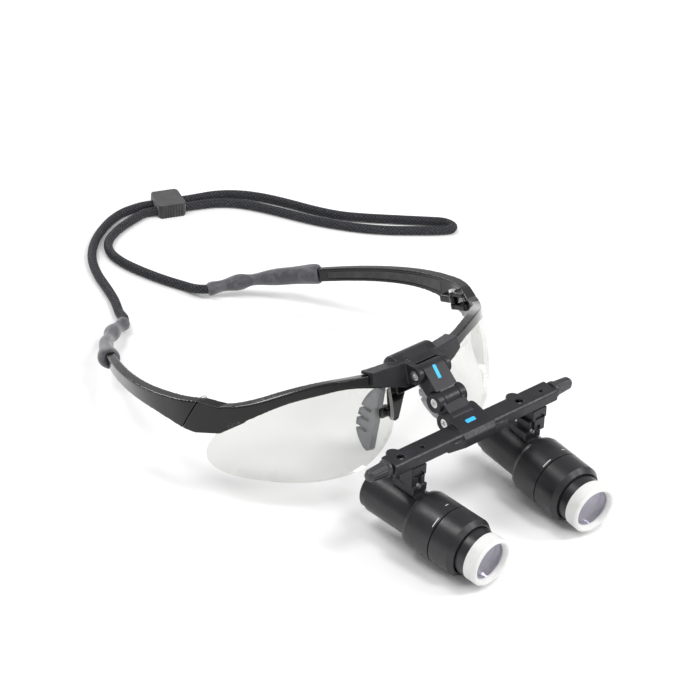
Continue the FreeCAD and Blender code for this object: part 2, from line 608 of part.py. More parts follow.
# ---- cross bar, adjusting screws and sliders --------------------------------------------------
def build_bar():
    y0, y1 = BAR_Y - BAR_W / 2, BAR_Y + BAR_W / 2
    z0, z1 = BAR_Z - BAR_H / 2, BAR_Z + BAR_H / 2
    section = [(y0 + 0.5, z0), (y1 - 0.6, z0), (y1, z0 + 0.6), (y1, z1 - 0.5), (y1 - 0.5, z1),
               (y0 + 0.9, z1), (y0, z1 - 0.8), (y0, z0 + 0.6)]
    bar = prism_x(section, -BAR_HALF, BAR_HALF)
    back = [(y0 - 1.3, z0 + 0.9), (y0 - 1.3, z1 - 2.2), (y0 + 0.4, z1 - 0.2), (y0 + 2.6, z1 + 0.7),
            (PIN_LOWER[0], PIN_LOWER[1] + EAR_R), (PIN_LOWER[0], z0 + 0.2), (y1 - 1, z0 - 0.4),
            (y0 + 0.6, z0 - 0.7)]
    boss = prism_x(back, -BRACKET_EAR[1], BRACKET_EAR[1])
    flare = [(-15.5, y0), (-7.6, y0 - 1.3), (7.6, y0 - 1.3), (15.5, y0), (15.5, y1 - 2), (-15.5, y1 - 2)]
    loop = [(x, y, z0 - 0.5) for x, y in flare]
    flare = Part.Face(Part.Wire(polyline(loop + loop[:1]))).extrude(Vector(0, 0, BAR_H - 1.8))
    shapes = [bar, boss, flare]
    for side in (-1, 1):
        a, b = sorted((side * BRACKET_EAR[0], side * BRACKET_EAR[1]))
        shapes.append(rod_x(a, b, *PIN_LOWER, EAR_R))
    # the lock bosses and top holes are spaced the same way on both sides, not mirrored
    for x in (-37.2, 24.8):
        shapes.append(rod_z(z0 + 0.6, z1 + 0.15, x, y1 - 1.2, 2.9))
    body = fuse(shapes)
    body = body.cut(rod_x(-LINK_HALF - 0.1, LINK_HALF + 0.1, *PIN_LOWER, 3.95))
    body = body.cut(block(-LINK_HALF - 0.1, LINK_HALF + 0.1, PIN_LOWER[0] - 0.5,
                          PIN_LOWER[0] + 6, z0 - 3, z1 + 6))
    body = cut(body, pin_room(PIN_LOWER, BRACKET_EAR[1]))
    for side in (-1, 1):
        a, b = sorted((side * CHANNEL_IN, side * CHANNEL_OUT))
        body = body.cut(block(a, b, BAR_Y - CHANNEL_W / 2, BAR_Y + CHANNEL_W / 2,
                              BAR_Z - CHANNEL_H / 2, BAR_Z + CHANNEL_H / 2))
        body = body.cut(block(a, b, BAR_Y - SLOT_W / 2, BAR_Y + SLOT_W / 2,
                              z0 - 2, BAR_Z))
        a, b = sorted((side * (CHANNEL_IN - 5), side * (BAR_HALF + 1)))
        body = body.cut(rod_x(a, b, BAR_Y, BAR_Z, SCREW_R + SCREW_RUN))
    for x, r in ((-36.6, 1.6), (24.8, 1.6), (-25.8, 0.8), (36.4, 0.8)):
        body = body.cut(rod_z(BAR_Z, z1 + 2, x, BAR_Y - 0.4, r))
    keep("cross_bar", body)


def build_adjusters():
    """Lead screw, knob and hanging slider, modelled on the wearer's left."""
    screw = rod_x(CHANNEL_IN - 4.5, BAR_HALF + 0.6 + KNOB_L * 0.5, BAR_Y, BAR_Z, SCREW_R)
    collar = rod_x(CHANNEL_IN + 0.1, CHANNEL_IN + 1.0, BAR_Y, BAR_Z, 1.7)
    keep_pair("pd_screw", fuse([screw, collar]))
    x0 = BAR_HALF + 0.12
    profile = [(0, 0), (2.9, 0), (KNOB_R, 0.5), (KNOB_R, 1.6), (3.0, 2.0), (2.55, KNOB_L - 1.6),
               (1.6, KNOB_L - 0.2), (0, KNOB_L)]
    knob = turned(profile)
    flutes = []
    for k in range(14):
        a = 2 * pi * k / 14
        groove = Part.makeCylinder(0.34, 6.8, Vector(3.1 * cos(a), 2.3, 3.1 * sin(a)),
                                   Vector(-0.055 * cos(a), 1, -0.055 * sin(a)))
        flutes.append(groove)
    knob = cut(knob, flutes)
    knob.rotate(ORIGIN, Z_AXIS, -90)
    knob.translate(Vector(x0, BAR_Y, BAR_Z))
    knob = knob.cut(screw)
    keep_pair("pd_knob", knob)

    z0 = BAR_Z - BAR_H / 2
    half = SLIDER_W / 2
    for side, sign in (("left", 1), ("right", -1)):
        x = sign * SLIDER_X[side]
        nut = block(x - half, x + half, BAR_Y - CHANNEL_W / 2 + 0.1, BAR_Y + CHANNEL_W / 2 - 0.1,
                    BAR_Z - CHANNEL_H / 2 + 0.1, BAR_Z + CHANNEL_H / 2 - 0.1)
        neck = block(x - half, x + half, BAR_Y - SLOT_W / 2 + 0.1, BAR_Y + SLOT_W / 2 - 0.1,
                     z0 - 0.6, BAR_Z)
        front, rear = BAR_Y - 4.2, BAR_Y + 3.6
        hanger = prism_x([(front, z0 - 0.15), (rear, z0 - 0.15), (rear - 0.6, z0 - 4.6),
                          (front, z0 - 4.6)], x - half, x + half)
        recess = rod_y(front - 1, front + 0.9, x, z0 - 4.9, half - 1.1)
        slider = fuse([nut, neck, hanger]).cut(recess)
        slider = slider.cut(rod_x(-60, 60, BAR_Y, BAR_Z, SCREW_R + SCREW_RUN))
        slider = slider.cut(rod_z(0, z0 - 1.0, x, BAR_Y, POST_R + POST_RUN))
        keep("pd_slider_" + side, slider)


# ---- telescopes ---------------------------------------------------------------------------------
def aim(shape):
    """Place a telescope piece from its barrel frame (front rim at y = 0)."""
    shape = shape.copy()
    shape.translate(Vector(0, -SCOPE_FRONT, 0))
    shape.rotate(ORIGIN, X_AXIS, SCOPE_PITCH)
    shape.rotate(ORIGIN, Z_AXIS, -SCOPE_YAW)
    shape.translate(Vector(BARREL_X, BAR_Y, SCOPE_AXIS_Z))
    return shape


def lens_disc(radius, t0, t1, bulge0, bulge1):
    """A lens on the barrel axis, with each face bulging outwards."""
    disc = rod_y(t0 - bulge0, t1 + bulge1, 0, 0, radius)
    if bulge0:
        curve = (radius ** 2 + bulge0 ** 2) / (2 * bulge0)
        disc = disc.common(Part.makeSphere(curve, Vector(0, t0 - bulge0 + curve, 0)))
    if bulge1:
        curve = (radius ** 2 + bulge1 ** 2) / (2 * bulge1)
        disc = disc.common(Part.makeSphere(curve, Vector(0, t1 + bulge1 - curve, 0)))
    return disc


def build_telescopes():
    bezel = turned([(8.2, 0.35), (8.7, 0), (9.3, 0.15), (BEZEL_R, 0.9), (BEZEL_R, BEZEL_L),
                    (8.85, BEZEL_L), (8.85, 3.6), (7.6, 3.6), (7.6, 1.6)])
    keep_pair("front_bezel", aim(bezel))
    tube = turned([(8.0, 3.6 + GAP), (8.8, 3.6 + GAP), (8.8, BEZEL_L + GAP), (TUBE_R, BEZEL_L + GAP),
                   (TUBE_R, TUBE_END), (8.7, TUBE_END), (8.7, 16.0), (8.0, 15.0)])
    keep_pair("objective_tube", aim(tube))
    keep_pair("cover_glass", aim(turned([(0, 2.2), (7.55, 2.2), (7.55, 3.5), (0, 3.5)])))
    keep_pair("lens_retainer", aim(turned([(7.0, 3.7), (7.95, 3.7), (7.95, 5.2), (7.3, 5.2)])))
    keep_pair("objective_lens", aim(lens_disc(8.65, 18.4, 21.0, 1.3, 1.1)))

    ring = turned([(9.9, RING_START + 0.1), (10.3, RING_START), (10.6, RING_START + 0.1),
                   (COLLAR_R, RING_START + 2.2), (COLLAR_R, RING_END), (SLEEVE_OUT + 0.05, RING_END),
                   (SLEEVE_OUT + 0.05, RING_START + 1.8), (9.9, RING_START + 1.8)])
    keep_pair("focus_ring", aim(ring))
    bore = TUBE_R + TUBE_RUN
    collar = turned([(bore, RING_START + 2.0), (SLEEVE_OUT, RING_START + 2.0),
                     (SLEEVE_OUT, RING_END + 0.3), (COLLAR_R, RING_END + 0.6),
                     (COLLAR_R, COLLAR_END - 2.4), (COLLAR_R - 0.5, COLLAR_END - 0.9),
                     (COLLAR_R - 1.8, COLLAR_END), (8.2, COLLAR_END), (8.2, 33.0), (bore, 33.0)])
    keep_pair("barrel_collar", aim(collar))

    housing = turned([(8.2, COLLAR_END + GAP), (HOUSING_R, COLLAR_END + GAP),
                      (HOUSING_R, HOUSING_END), (7.7, HOUSING_END), (7.7, HOUSING_END - 1.4),
                      (8.2, HOUSING_END - 1.4)])
    flat = HOUSING_R - 0.7
    y0, y1 = SCOPE_FRONT - 3.9, SCOPE_FRONT + 7.0
    pad = block(-2.9, 2.9, y0, y1, HOUSING_R - 1.1, HOUSING_R + 0.5)
    housing = fuse([housing, pad])
    housing = housing.cut(rod_y(COLLAR_END + 1, HOUSING_END - 1.4, 0, 0, 8.2))
    for dy in (-2.6, 5.6):
        housing = housing.cut(rod_z(flat - 4, 20, 0, SCOPE_FRONT + dy, 0.82))
    keep_pair("prism_housing", aim(housing))
    roof = prism_x([(39.5, -5.6), (46.0, -5.6), (51.0, 5.6), (43.2, 5.6)], -5.0, 5.0)
    wedge = prism_x([(47.0, -5.6), (52.6, -5.6), (52.6, 5.4)], -5.0, 5.0)
    keep_pair("roof_prism", aim(Part.makeCompound([roof, wedge])))
    eye = turned([(6.9, HOUSING_END + GAP), (EYE_R, HOUSING_END + GAP), (EYE_R, EYE_END - 0.6),
                  (EYE_R - 0.6, EYE_END), (6.4, EYE_END), (6.4, EYE_END - 0.9), (6.9, EYE_END - 0.9)])
    keep_pair("eyepiece_ring", aim(eye))
    keep_pair("eyepiece_lens", aim(lens_disc(6.85, HOUSING_END + 0.6, EYE_END - 1.0, 0, 0.6)))

    # saddle: flat foot on the housing, tower and post standing square to the bar
    lift = HOUSING_R + 0.5 + GAP
    screws = []
    for dy in (-2.6, 5.6):
        shank = rod_z(flat - 1.6, lift + 2.5, 0, SCOPE_FRONT + dy, 0.8)
        head = rod_z(lift + 2.1, lift + 3.1, 0, SCOPE_FRONT + dy, 1.25)
        socket = hex_socket(Vector(0, SCOPE_FRONT + dy, lift + 2.5), Z_AXIS, 0.7, 2)
        screws.append(aim(fuse([shank, head]).cut(socket)))
    keep_pair("saddle_screws", Part.makeCompound(screws))
    foot = block(-SLIDER_W / 2, SLIDER_W / 2, y0, y1, lift, HOUSING_R + 3.6)
    z0 = BAR_Z - BAR_H / 2
    for side, sign in (("left", 1), ("right", -1)):
        x = SLIDER_X[side]
        low_x = min(x, BARREL_X + 1.2)
        tower = prism_x([(BAR_Y - 3.9, z0 - 4.75), (BAR_Y + 2.7, z0 - 4.75), (BAR_Y + 3.3, 25.0),
                         (BAR_Y - 3.9, 25.6)], low_x - 3.3, x + 3.3)
        shape = fuse([aim(foot), tower, rod_z(25.2, z0 - 1.2, x, BAR_Y, POST_R)])
        for dy in (-2.6, 5.6):
            shape = shape.cut(aim(rod_z(0, 30, 0, SCOPE_FRONT + dy, 0.86)))
            shape = shape.cut(aim(rod_z(lift + 2.05, lift + 3.2, 0, SCOPE_FRONT + dy, 1.4)))
        shape = shape.cut(rod_y(BAR_Y - 6, BAR_Y - 3.2, x - 0.3, 27.2, 1.2))
        keep("saddle_" + side, shape if sign > 0 else mirrored(shape))


def main():
    build_front()
    for side in ("left", "right"):
        blank = lens_blank()
        keep("lens_" + side, blank if side == "left" else mirrored(blank))
    build_nose()
    front = NODES["frame_front"]
    for name in list(NODES):
        NODES[name] = seat(NODES[name])
    arm = build_temples(front)
    build_sleeves(arm)
    build_cord()
    build_bracket()
    build_links()
    build_bar()
    build_adjusters()
    build_telescopes()
    os.makedirs("parts", exist_ok=True)
    for name, shape in sorted(NODES.items()):
        shape.exportStep("parts/%s.step" % name)
        print("%-28s solids %d  volume %9.2f  valid %s"
              % (name, len(shape.Solids), shape.Volume, shape.isValid()))


main()
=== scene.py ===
"""Looks and studio for flip-up dental loupes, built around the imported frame.

Metres, +Z up, +X towards the wearer's left. Lengths named in MM are written in millimetres.
Moulded pieces get a softly rounded skin over their CAD node, turned and optical pieces keep
their CAD mesh, and the cord is built here as a braided tube.
"""
import json
import math

import bmesh
import bpy
from mathutils import Matrix, Vector
from mathutils.bvhtree import BVHTree


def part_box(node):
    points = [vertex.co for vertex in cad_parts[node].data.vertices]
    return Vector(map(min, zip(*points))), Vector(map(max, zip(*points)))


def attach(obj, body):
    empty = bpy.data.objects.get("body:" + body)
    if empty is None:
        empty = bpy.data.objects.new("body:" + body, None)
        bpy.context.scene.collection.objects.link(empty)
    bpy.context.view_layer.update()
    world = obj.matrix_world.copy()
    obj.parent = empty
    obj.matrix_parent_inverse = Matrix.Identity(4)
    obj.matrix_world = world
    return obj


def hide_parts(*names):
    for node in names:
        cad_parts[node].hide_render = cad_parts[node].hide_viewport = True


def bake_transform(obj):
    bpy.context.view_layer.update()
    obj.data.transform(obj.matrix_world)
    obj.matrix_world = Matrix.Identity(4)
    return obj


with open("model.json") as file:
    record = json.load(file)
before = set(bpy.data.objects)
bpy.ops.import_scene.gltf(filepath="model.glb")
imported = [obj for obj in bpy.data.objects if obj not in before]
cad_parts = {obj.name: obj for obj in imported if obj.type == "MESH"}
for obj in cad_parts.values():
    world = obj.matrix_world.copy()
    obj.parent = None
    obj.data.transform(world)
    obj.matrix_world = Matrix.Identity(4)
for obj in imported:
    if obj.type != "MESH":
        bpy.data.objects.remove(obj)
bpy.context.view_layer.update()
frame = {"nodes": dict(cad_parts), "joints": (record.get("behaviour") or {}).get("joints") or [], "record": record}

MM = 0.001
SIDES = ("left", "right")
UP = Vector((0, 0, 1))
RECORD = frame["record"]
NODES = frame["nodes"]
AXIS = {joint["name"]: Vector(joint["axis"]) for joint in frame["joints"]}
SLOT_OF = {part["node"]: part["material_slot"] for part in RECORD["subparts"]}
BODY_OF = {node: body for body, nodes in RECORD["behaviour"]["bodies"].items() for node in nodes}


# ---- node materials -----------------------------------------------------------------------
class Finish:
    """A node material under construction around one Principled shader."""

    def __init__(self, name, color, roughness, **values):
        self.material = bpy.data.materials.new(name)
        self.material.use_nodes = True
        self.tree = self.material.node_tree
        self.shader = self.tree.nodes["Principled BSDF"]
        self.output = self.tree.nodes["Material Output"]
        self.roughness = roughness
        self.set("Base Color", (*color, 1))
        self.set("Roughness", roughness)
        for key, value in values.items():
            self.set(key.replace("_", " "), value)
        self.coordinates = None
        self.bumps = None

    def set(self, key, value):
        self.shader.inputs[key].default_value = value

    def node(self, kind, **settings):
        made = self.tree.nodes.new("ShaderNode" + kind)
        for key, value in settings.items():
            setattr(made, key, value)
        return made

    def link(self, source, target):
        self.tree.links.new(source, target)

    def place(self):
        """The point being shaded, in millimetres, fixed to its piece."""
        if self.coordinates is None:
            where = self.node("TexCoord")
            scale = self.node("VectorMath", operation="SCALE")
            scale.inputs["Scale"].default_value = 1 / MM
            self.link(where.outputs["Object"], scale.inputs[0])
            self.coordinates = scale.outputs[0]
        return self.coordinates

    def noise(self, per_mm, detail=2.0, stretch=(1, 1, 1), distortion=0.0):
        squeeze = self.node("VectorMath", operation="MULTIPLY")
        squeeze.inputs[1].default_value = stretch
        self.link(self.place(), squeeze.inputs[0])
        noise = self.node("TexNoise")
        noise.inputs["Scale"].default_value = per_mm
        noise.inputs["Detail"].default_value = detail
        noise.inputs["Distortion"].default_value = distortion
        self.link(squeeze.outputs[0], noise.inputs["Vector"])
        return noise.outputs["Fac"]

    def math(self, operation, a, b=None):
        made = self.node("Math", operation=operation)
        for socket, value in zip(made.inputs, (a, b)):
            if value is None:
                continue
            if isinstance(value, (int, float)):
                socket.default_value = value
            else:
                self.link(value, socket)
        return made.outputs[0]

    def ramp(self, source, low, high, start=0.0, end=1.0):
        """Maps source from start..end to low..high, smoothly."""
        made = self.node("MapRange", interpolation_type="SMOOTHSTEP")
        limits = {"From Min": start, "From Max": end, "To Min": low, "To Max": high}
        for key, value in limits.items():
            made.inputs[key].default_value = value
        self.link(source, made.inputs["Value"])
        return made.outputs["Result"]

    def tint(self, factor, other, socket="Base Color"):
        """Blends the colour so far towards another one by a factor."""
        blend = self.node("Mix", data_type="RGBA")
        before = self.shader.inputs[socket]
        if before.is_linked:
            self.link(before.links[0].from_socket, blend.inputs[6])
        else:
            blend.inputs[6].default_value = before.default_value
        blend.inputs[7].default_value = (*other, 1)
        self.link(factor, blend.inputs[0])
        self.link(blend.outputs[2], before)
        return self

    def vary_roughness(self, source, spread, start=0.3, end=0.7):
        low, high = self.roughness - spread, self.roughness + spread
        self.link(self.ramp(source, low, high, start, end), self.shader.inputs["Roughness"])
        return self

    def bump(self, height, depth):
        """Adds relief of this depth in millimetres."""
        made = self.node("Bump")
        made.inputs["Distance"].default_value = depth * MM
        made.inputs["Strength"].default_value = 1.0
        self.link(height, made.inputs["Height"])
        if self.bumps is not None:
            self.link(self.bumps, made.inputs["Normal"])
        self.bumps = made.outputs["Normal"]
        self.link(self.bumps, self.shader.inputs["Normal"])
        return self

    def round_edges(self, radius):
        """Softens the highlights along sharp edges, as a small machined edge break does."""
        soft = self.node("Bevel", samples=4)
        soft.inputs["Radius"].default_value = radius * MM
        self.bumps = soft.outputs["Normal"]
        self.link(self.bumps, self.shader.inputs["Normal"])
        return self

    def edge_wear_and_highlight(self, wear_and_highlight_tone, amount, start=0.53, end=0.62):
        """Raised edges are painted lighter, broken up by noise: partly polish from handling, partly a painted
        highlight.
        """
        edge = self.ramp(self.node("NewGeometry").outputs["Pointiness"], 0, amount, start, end)
        patchy = self.ramp(self.noise(1.3, 4), 0.25, 1, 0.4, 0.62)
        return self.tint(self.math("MULTIPLY", edge, patchy), wear_and_highlight_tone)


def moulded(name, color, roughness, grain_depth, wear_and_highlight_tone, grain=5.0, spread=0.06, **values):
    """Moulded plastic: fine spark-eroded grain, slow colour drift, and edges painted lighter, partly as handling
    polish and partly as a painted highlight.
    """
    finish = Finish(name, color, roughness, **values)
    lighter = tuple(c * 1.5 + 0.004 for c in color)
    finish.tint(finish.ramp(finish.noise(0.12, 3), 0, 0.6, 0.35, 0.7), lighter)
    # Edges painted lighter: handling wear plus a painted highlight.
    finish.edge_wear_and_highlight(wear_and_highlight_tone, 0.5)
    finish.vary_roughness(finish.noise(0.8, 4), spread)
    finish.bump(finish.noise(grain, 3), grain_depth)
    return finish.material


def turned_metal(name, color, roughness, axis, line_depth, **values):
    """Anodised turned metal: fine tool lines around the barrel and a faint fine grain."""
    finish = Finish(name, color, roughness, **values)
    finish.round_edges(0.22)
    along = finish.node("VectorMath", operation="DOT_PRODUCT")
    along.inputs[1].default_value = axis
    finish.link(finish.place(), along.inputs[0])
    lines = finish.node("TexNoise", noise_dimensions="1D")
    lines.inputs["Scale"].default_value = 9.0
    lines.inputs["Detail"].default_value = 3.0
    finish.link(along.outputs["Value"], lines.inputs["W"])
    finish.tint(finish.ramp(finish.noise(0.1, 3), 0, 0.5, 0.35, 0.7),
                tuple(c * 1.6 + 0.003 for c in color))
    finish.vary_roughness(finish.noise(0.5, 5), 0.05)
    finish.bump(lines.outputs["Fac"], line_depth)
    finish.bump(finish.noise(5, 2), 0.0012)
    return finish.material


def steel(name, brightness):
    finish = Finish(name, (brightness, brightness, brightness * 1.01), 0.3, Metallic=1.0)
    finish.round_edges(0.1)
    dull = brightness * 0.7
    finish.tint(finish.ramp(finish.noise(3, 3), 0, 0.5, 0.5, 0.75), (dull, dull, dull * 1.03))
    finish.vary_roughness(finish.noise(6, 4), 0.1)
    finish.bump(finish.noise(12, 2, (1, 6, 1)), 0.006)
    return finish.material


RUBBER_GRAIN = 0.03


def rubber(name, color, roughness, mottle, pale):
    """Soft rubber with blotchy bloom, fine pitting and a dusty sheen."""
    finish = Finish(name, color, roughness, Sheen_Weight=0.35, Sheen_Roughness=0.5)
    finish.set("Specular IOR Level", 0.35)
    finish.tint(finish.ramp(finish.noise(mottle, 5, distortion=0.6), 0, 0.85, 0.42, 0.68), pale)
    finish.tint(finish.ramp(finish.noise(4, 3), 0, 0.35, 0.55, 0.75), tuple(c * 1.8 for c in pale))
    finish.vary_roughness(finish.noise(1.5, 3), 0.08)
    finish.bump(finish.noise(3.5, 4), RUBBER_GRAIN)
    finish.bump(finish.noise(14, 2), RUBBER_GRAIN / 4)
    return finish.material


CARRIERS = 8  # yarns winding each way around the cord
BRAID_PITCH = 14.0  # length of cord for one turn of a yarn, in millimetres
THREADS = 40  # single threads around the cord


def braid(name):
    """Braided polyester: crossing helical yarns with single threads, on a mesh with a UV map.

    U runs once around the cord and V is the length along it in millimetres.
    """
    finish = Finish(name, (0.004, 0.004, 0.005), 0.6, Sheen_Weight=0.05, Sheen_Roughness=0.4)
    finish.set("Specular IOR Level", 0.16)
    position = finish.node("SeparateXYZ")
    finish.link(finish.node("UVMap").outputs["UV"], position.inputs[0])
    around, along = position.outputs["X"], position.outputs["Y"]
    turns = finish.math("MULTIPLY", along, 1 / BRAID_PITCH)
    yarns = []
    for sign in ("ADD", "SUBTRACT"):
        angle = finish.math(sign, around, turns)
        wave = finish.math("SINE", finish.math("MULTIPLY", angle, math.pi * CARRIERS))
        yarns.append(finish.math("ABSOLUTE", wave))
    crossing = finish.math("MAXIMUM", yarns[0], yarns[1])
    winding = finish.math("ADD", around, turns)
    threads = finish.math("SINE", finish.math("MULTIPLY", winding, 2 * math.pi * THREADS))
    # Painted highlight and shade: the raised yarns are painted lighter than the gaps between them, following the
    # braid relief.
    finish.tint(finish.ramp(crossing, 0, 0.8, 0.8, 1.0), (0.06, 0.061, 0.07))
    finish.tint(finish.ramp(finish.noise(0.35, 4), 0, 0.4, 0.45, 0.7), (0.02, 0.02, 0.022))
    finish.tint(finish.ramp(finish.noise(2.2, 2), 0, 0.5, 0.56, 0.7), (0.16, 0.16, 0.18))
    finish.vary_roughness(finish.noise(2.5, 3), 0.1)
    finish.bump(crossing, 0.07)
    finish.bump(threads, 0.012)
    return finish.material


def see_through(name, tint, haze, mirror, edge_mirror=0.22, reflection=(1, 1, 1)):
    """Clear glass: tinted straight-through light under a thin reflective coating.

    mirror and edge_mirror are the shares of light reflected face-on and edge-on.
    """
    finish = Finish(name, tint, haze)
    clear = finish.node("BsdfTransparent")
    clear.inputs["Color"].default_value = (*tint, 1)
    coat = finish.node("BsdfGlossy")
    coat.inputs["Color"].default_value = (*reflection, 1)
    smear = finish.ramp(finish.noise(0.06, 4, distortion=1.0), haze, haze * 2.6, 0.35, 0.7)
    finish.link(smear, coat.inputs["Roughness"])
    facing = finish.node("LayerWeight")
    facing.inputs["Blend"].default_value = 0.35
    share = finish.ramp(facing.outputs["Fresnel"], mirror, edge_mirror)
    mix = finish.node("MixShader")
    finish.link(share, mix.inputs[0])
    finish.link(clear.outputs[0], mix.inputs[1])
    finish.link(coat.outputs[0], mix.inputs[2])
    finish.link(mix.outputs[0], finish.output.inputs["Surface"])
    return finish.material


def silicone(name):
    finish = Finish(name, (0.40, 0.405, 0.43), 0.36, Transmission_Weight=0.5, IOR=1.3)
    finish.set("Subsurface Weight", 0.25)
    finish.set("Subsurface Radius", (2 * MM, 2 * MM, 2 * MM))
    finish.tint(finish.ramp(finish.noise(0.25, 3), 0, 0.6, 0.4, 0.7), (0.52, 0.525, 0.55))
    finish.vary_roughness(finish.noise(1.1, 3), 0.08)
    finish.bump(finish.noise(2.5, 3), 0.015)
    return finish.material


def matte_white(name):
    finish = Finish(name, (0.74, 0.74, 0.73), 0.45)
    finish.round_edges(0.35)
    finish.tint(finish.ramp(finish.noise(0.3, 4), 0, 0.5, 0.4, 0.7), (0.66, 0.66, 0.65))
    finish.tint(finish.ramp(finish.noise(1.8, 5), 0, 0.4, 0.62, 0.75), (0.55, 0.55, 0.54))
    finish.vary_roughness(finish.noise(1.4, 3), 0.1)
    finish.bump(finish.noise(5, 3), 0.012)
    return finish.material


def ink(name, color):
    finish = Finish(name, color, 0.45)
    finish.tint(finish.ramp(finish.noise(4, 3), 0, 0.3, 0.45, 0.7), tuple(c * 0.8 for c in color))
    finish.vary_roughness(finish.noise(3, 3), 0.08)
    finish.bump(finish.noise(6, 2), 0.006)
    return finish.material


# Edge colour of the satin loupe plastic: wear plus a painted highlight.
WEAR_AND_HIGHLIGHT_TONE = (0.11, 0.11, 0.12)
MATERIALS = {
    "eyewear_gloss_black": moulded("eyewear_gloss_black", (0.0035, 0.0035, 0.004), 0.13, 0.004,
                                   (0.03, 0.03, 0.032), grain=1.0, spread=0.05,
                                   Coat_Weight=0.4, Coat_Roughness=0.04,
                                   Specular_IOR_Level=0.2),
    "loupe_satin_black": moulded("loupe_satin_black", (0.0115, 0.0112, 0.0142), 0.38, 0.018, WEAR_AND_HIGHLIGHT_TONE,
                                 grain=5.5, Specular_IOR_Level=0.36),
    "knob_black": moulded("knob_black", (0.022, 0.022, 0.025), 0.38, 0.018, (0.16, 0.16, 0.17),
                          grain=6.0),
    "screw_steel": steel("screw_steel", 0.86),
    "retainer_metal": steel("retainer_metal", 0.5),
    "bezel_white": matte_white("bezel_white"),
    "safety_lens": see_through("safety_lens", (0.872, 0.874, 0.862), 0.12, 0.02),
    "front_glass": see_through("front_glass", (0.82, 0.81, 0.85), 0.03, 0.17, 0.45,
                               (0.9, 0.88, 0.96)),
    "optical_glass": see_through("optical_glass", (0.75, 0.74, 0.8), 0.02, 0.08, 0.3,
                                 (0.8, 0.75, 1)),
    "pad_silicone": silicone("pad_silicone"),
    "grip_rubber": rubber("grip_rubber", (0.02, 0.02, 0.021), 0.6, 0.3, (0.04, 0.04, 0.042)),
    "sleeve_rubber": rubber("sleeve_rubber", (0.052, 0.052, 0.059), 0.5, 0.22,
                            (0.105, 0.105, 0.118)),
    "lock_rubber": rubber("lock_rubber", (0.013, 0.013, 0.0145), 0.55, 0.25, (0.03, 0.03, 0.033)),
    "cord_braid": braid("cord_braid"),
}
for side in SIDES:
    MATERIALS["barrel_black_" + side] = turned_metal(
        "barrel_black_" + side, (0.0095, 0.0095, 0.0115), 0.34, AXIS["focus_travel_" + side], 0.002,
        Coat_Weight=0.1, Coat_Roughness=0.25, Specular_IOR_Level=0.45)
INK_BLUE = ink("ink_blue", (0.035, 0.47, 0.87))
INK_WHITE = ink("ink_white", (0.75, 0.75, 0.75))


def finish_of(node):
    slot = SLOT_OF[node]
    sided = slot + "_" + node.rsplit("_", 1)[-1]
    return MATERIALS.get(sided) or MATERIALS[slot]


# ---- mesh helpers ---------------------------------------------------------------------------
def add_object(name, mesh, material, smooth=True):
    piece = bpy.data.objects.new(name, mesh)
    bpy.context.scene.collection.objects.link(piece)
    mesh.materials.clear()
    mesh.materials.append(material)
    if smooth:
        mesh.polygons.foreach_set("use_smooth", [True] * len(mesh.polygons))
    return piece


def apply_modifiers(piece):
    graph = bpy.context.evaluated_depsgraph_get()
    mesh = bpy.data.meshes.new_from_object(piece.evaluated_get(graph))
    piece.modifiers.clear()
    old = piece.data
    piece.data = mesh
    bpy.data.meshes.remove(old)


WELD = 1e-6
SOFTENING_ROUNDS = 4


def skin(node, voxel):
    """A closed skin over a CAD node, whose edges come out rounded as on a moulding.

    The mesh is worked on in millimetres, then scaled back. voxel is the cell size in millimetres.
    """
    mesh = NODES[node].data.copy()
    welded = bmesh.new()
    welded.from_mesh(mesh)
    bmesh.ops.remove_doubles(welded, verts=welded.verts, dist=WELD)
    welded.to_mesh(mesh)
    welded.free()
    mesh.transform(Matrix.Scale(1 / MM, 4))
    piece = add_object(node + "_skin", mesh, finish_of(node))
    cells = piece.modifiers.new("cells", "REMESH")
    cells.mode = "VOXEL"
    cells.voxel_size = voxel
    cells.use_smooth_shade = True
    soften = piece.modifiers.new("soften", "SMOOTH")
    soften.factor = 0.5
    soften.iterations = SOFTENING_ROUNDS
    apply_modifiers(piece)
    piece.data.transform(Matrix.Scale(MM, 4))
    piece.data.materials.clear()
    piece.data.materials.append(finish_of(node))
    piece.data.polygons.foreach_set("use_smooth", [True] * len(piece.data.polygons))
    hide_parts(node)
    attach(piece, BODY_OF[node])
    return piece


def braided_tube(name, path, radius):
    """A closed braided tube along a path in millimetres, with its own UV map."""
    points = [Vector(p) for p in path]
    lengths = [0.0]
    for a, b in zip(points, points[1:]):
        lengths.append(lengths[-1] + (b - a).length)
    mesh = bmesh.new()
    uv_layer = mesh.loops.layers.uv.new("braid")
    rings = []
    for i, centre in enumerate(points):
        before, after = points[max(i - 1, 0)], points[min(i + 1, len(points) - 1)]
        forward = (after - before).normalized()
        across = forward.cross(UP).normalized()
        lift = across.cross(forward)
        ring = []
        for k in range(CORD_SIDES):
            angle = 2 * math.pi * k / CORD_SIDES
            reach = radius + braid_height(angle, lengths[i])
            offset = across * (math.cos(angle) * reach) + lift * (math.sin(angle) * reach)
            ring.append(mesh.verts.new((centre + offset) * MM))
        rings.append(ring)
    for i, (ring, following) in enumerate(zip(rings, rings[1:])):
        for k in range(CORD_SIDES):
            n = (k + 1) % CORD_SIDES
            face = mesh.faces.new((ring[k], ring[n], following[n], following[k]))
            u_low, u_high = k / CORD_SIDES, (k + 1) / CORD_SIDES
            v_low, v_high = lengths[i], lengths[i + 1]
            corners = ((u_low, v_low), (u_high, v_low), (u_high, v_high), (u_low, v_high))
            for loop, corner in zip(face.loops, corners):
                loop[uv_layer].uv = corner
    mesh.faces.new(list(reversed(rings[0])))
    mesh.faces.new(rings[-1])
    bmesh.ops.recalc_face_normals(mesh, faces=mesh.faces)
    data = bpy.data.meshes.new(name)
    mesh.to_mesh(data)
    mesh.free()
    return add_object(name, data, MATERIALS["cord_braid"])


